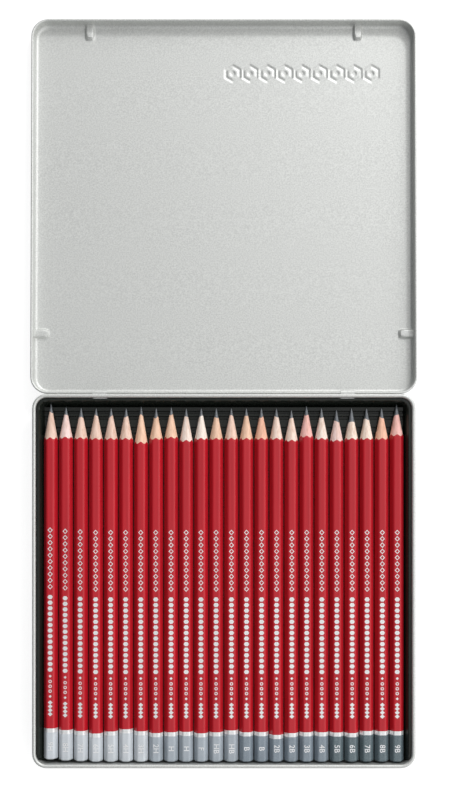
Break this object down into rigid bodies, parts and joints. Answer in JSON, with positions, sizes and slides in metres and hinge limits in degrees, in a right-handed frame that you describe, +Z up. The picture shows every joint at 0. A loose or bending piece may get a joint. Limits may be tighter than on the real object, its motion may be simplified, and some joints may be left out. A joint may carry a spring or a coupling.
{
  "type": "pencil tin",
  "caption": "Flat hinged tinplate box, shown open, with a black tray that holds a row of sharpened hexagonal graphite pencils.",
  "frame": {"origin": "on the table, under the middle of the bounding box of the open tin", "axes": "+Z up; +X along the hinge, to the right for someone who reads the pencils; +Y from the pan to the open lid"},
  "size_m": [0.1916, 0.3716, 0.014],
  "materials": {
    "tinplate": "satin",
    "tray_plastic": "satin",
    "lacquered_casing": "gloss",
    "bare_wood": "matte",
    "silver_foil": "satin",
    "grey_dip": "gloss",
    "graphite": "satin"
  },
  "bodies": {
    "base": {"base_pan": "tinplate"},
    "lid": {"lid": "tinplate"},
    "tray": {"pencil_tray": "tray_plastic"},
    "pencil_01": {"pencil_01_casing": "lacquered_casing", "pencil_01_lead": "graphite"},
    "pencil_02": {"pencil_02_casing": "lacquered_casing", "pencil_02_lead": "graphite"},
    "pencil_03": {"pencil_03_casing": "lacquered_casing", "pencil_03_lead": "graphite"},
    "pencil_04": {"pencil_04_casing": "lacquered_casing", "pencil_04_lead": "graphite"},
    "pencil_05": {"pencil_05_casing": "lacquered_casing", "pencil_05_lead": "graphite"},
    "pencil_06": {"pencil_06_casing": "lacquered_casing", "pencil_06_lead": "graphite"},
    "pencil_07": {"pencil_07_casing": "lacquered_casing", "pencil_07_lead": "graphite"},
    "pencil_08": {"pencil_08_casing": "lacquered_casing", "pencil_08_lead": "graphite"},
    "pencil_09": {"pencil_09_casing": "lacquered_casing", "pencil_09_lead": "graphite"},
    "pencil_10": {"pencil_10_casing": "lacquered_casing", "pencil_10_lead": "graphite"},
    "pencil_11": {"pencil_11_casing": "lacquered_casing", "pencil_11_lead": "graphite"},
    "pencil_12": {"pencil_12_casing": "lacquered_casing", "pencil_12_lead": "graphite"},
    "pencil_13": {"pencil_13_casing": "lacquered_casing", "pencil_13_lead": "graphite"},
    "pencil_14": {"pencil_14_casing": "lacquered_casing", "pencil_14_lead": "graphite"},
    "pencil_15": {"pencil_15_casing": "lacquered_casing", "pencil_15_lead": "graphite"},
    "pencil_16": {"pencil_16_casing": "lacquered_casing", "pencil_16_lead": "graphite"},
    "pencil_17": {"pencil_17_casing": "lacquered_casing", "pencil_17_lead": "graphite"},
    "pencil_18": {"pencil_18_casing": "lacquered_casing", "pencil_18_lead": "graphite"},
    "pencil_19": {"pencil_19_casing": "lacquered_casing", "pencil_19_lead": "graphite"},
    "pencil_20": {"pencil_20_casing": "lacquered_casing", "pencil_20_lead": "graphite"},
    "pencil_21": {"pencil_21_casing": "lacquered_casing", "pencil_21_lead": "graphite"},
    "pencil_22": {"pencil_22_casing": "lacquered_casing", "pencil_22_lead": "graphite"},
    "pencil_23": {"pencil_23_casing": "lacquered_casing", "pencil_23_lead": "graphite"},
    "pencil_24": {"pencil_24_casing": "lacquered_casing", "pencil_24_lead": "graphite"}
  },
  "joints": [
    {"name": "lid_hinge", "type": "hinge", "parent": "base", "child": "lid", "pos_m": [0, -0.00068, 0.01], "axis": [-1, 0, 0], "range_deg": [-181.25, 0]},
    {"name": "tray_lift", "type": "slide", "parent": "base", "child": "tray", "axis": [0, 0, 1], "range_m": [0, 0.03]},
    {"name": "pencil_01_lift", "type": "slide", "parent": "tray", "child": "pencil_01", "axis": [0, 0, 1], "range_m": [0, 0.03]},
    {"name": "pencil_02_lift", "type": "slide", "parent": "tray", "child": "pencil_02", "axis": [0, 0, 1], "range_m": [0, 0.03]},
    {"name": "pencil_03_lift", "type": "slide", "parent": "tray", "child": "pencil_03", "axis": [0, 0, 1], "range_m": [0, 0.03]},
    {"name": "pencil_04_lift", "type": "slide", "parent": "tray", "child": "pencil_04", "axis": [0, 0, 1], "range_m": [0, 0.03]},
    {"name": "pencil_05_lift", "type": "slide", "parent": "tray", "child": "pencil_05", "axis": [0, 0, 1], "range_m": [0, 0.03]},
    {"name": "pencil_06_lift", "type": "slide", "parent": "tray", "child": "pencil_06", "axis": [0, 0, 1], "range_m": [0, 0.03]},
    {"name": "pencil_07_lift", "type": "slide", "parent": "tray", "child": "pencil_07", "axis": [0, 0, 1], "range_m": [0, 0.03]},
    {"name": "pencil_08_lift", "type": "slide", "parent": "tray", "child": "pencil_08", "axis": [0, 0, 1], "range_m": [0, 0.03]},
    {"name": "pencil_09_lift", "type": "slide", "parent": "tray", "child": "pencil_09", "axis": [0, 0, 1], "range_m": [0, 0.03]},
    {"name": "pencil_10_lift", "type": "slide", "parent": "tray", "child": "pencil_10", "axis": [0, 0, 1], "range_m": [0, 0.03]},
    {"name": "pencil_11_lift", "type": "slide", "parent": "tray", "child": "pencil_11", "axis": [0, 0, 1], "range_m": [0, 0.03]},
    {"name": "pencil_12_lift", "type": "slide", "parent": "tray", "child": "pencil_12", "axis": [0, 0, 1], "range_m": [0, 0.03]},
    {"name": "pencil_13_lift", "type": "slide", "parent": "tray", "child": "pencil_13", "axis": [0, 0, 1], "range_m": [0, 0.03]},
    {"name": "pencil_14_lift", "type": "slide", "parent": "tray", "child": "pencil_14", "axis": [0, 0, 1], "range_m": [0, 0.03]},
    {"name": "pencil_15_lift", "type": "slide", "parent": "tray", "child": "pencil_15", "axis": [0, 0, 1], "range_m": [0, 0.03]},
    {"name": "pencil_16_lift", "type": "slide", "parent": "tray", "child": "pencil_16", "axis": [0, 0, 1], "range_m": [0, 0.03]},
    {"name": "pencil_17_lift", "type": "slide", "parent": "tray", "child": "pencil_17", "axis": [0, 0, 1], "range_m": [0, 0.03]},
    {"name": "pencil_18_lift", "type": "slide", "parent": "tray", "child": "pencil_18", "axis": [0, 0, 1], "range_m": [0, 0.03]},
    {"name": "pencil_19_lift", "type": "slide", "parent": "tray", "child": "pencil_19", "axis": [0, 0, 1], "range_m": [0, 0.03]},
    {"name": "pencil_20_lift", "type": "slide", "parent": "tray", "child": "pencil_20", "axis": [0, 0, 1], "range_m": [0, 0.03]},
    {"name": "pencil_21_lift", "type": "slide", "parent": "tray", "child": "pencil_21", "axis": [0, 0, 1], "range_m": [0, 0.03]},
    {"name": "pencil_22_lift", "type": "slide", "parent": "tray", "child": "pencil_22", "axis": [0, 0, 1], "range_m": [0, 0.03]},
    {"name": "pencil_23_lift", "type": "slide", "parent": "tray", "child": "pencil_23", "axis": [0, 0, 1], "range_m": [0, 0.03]},
    {"name": "pencil_24_lift", "type": "slide", "parent": "tray", "child": "pencil_24", "axis": [0, 0, 1], "range_m": [0, 0.03]}
  ]
}
